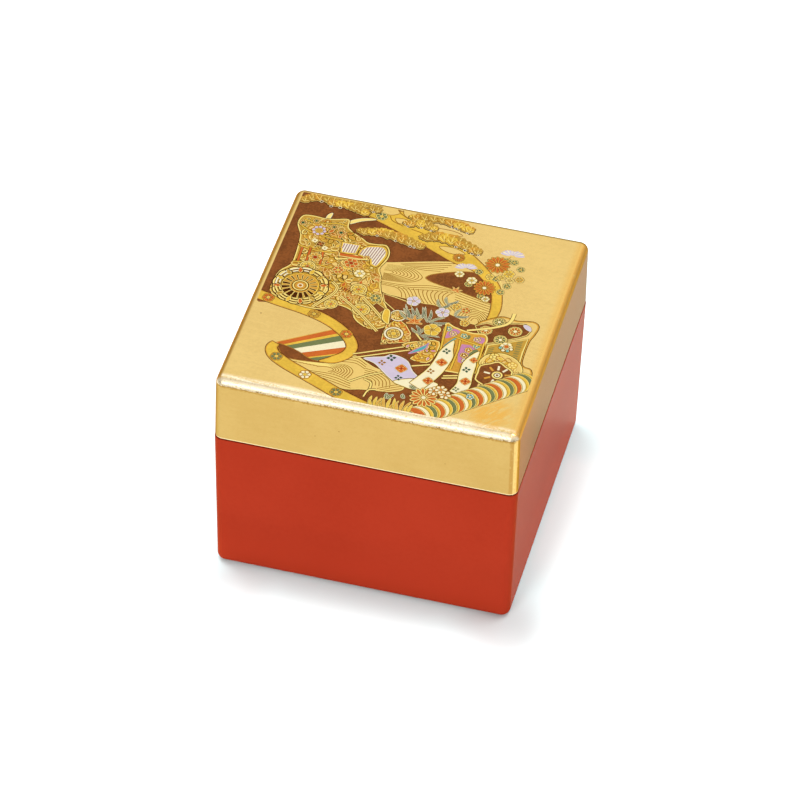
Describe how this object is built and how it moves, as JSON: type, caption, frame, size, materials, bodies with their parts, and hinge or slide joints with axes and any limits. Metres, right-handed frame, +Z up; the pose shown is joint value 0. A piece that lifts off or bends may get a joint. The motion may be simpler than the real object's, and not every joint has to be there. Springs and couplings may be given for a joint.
{
  "type": "lacquer storage box",
  "caption": "Small square lacquered wooden box, hollow, with a lift-off lid that sits over an inner lip: gold lid with a painted top, red body.",
  "frame": {"origin": "centre of the underside, on the plane that the box stands on", "axes": "+Z up through the lid, +X to the right and +Y to the back as the picture on the lid faces"},
  "size_m": [0.1, 0.1, 0.0803],
  "materials": {
    "red_lacquer": "glossy vermilion lacquer over wood",
    "gold_lacquer": "glossy gold lacquer over wood, with a painted picture on top"
  },
  "bodies": {
    "root": {"box_body": "red_lacquer", "box_lid": "gold_lacquer"}
  },
  "joints": []
}
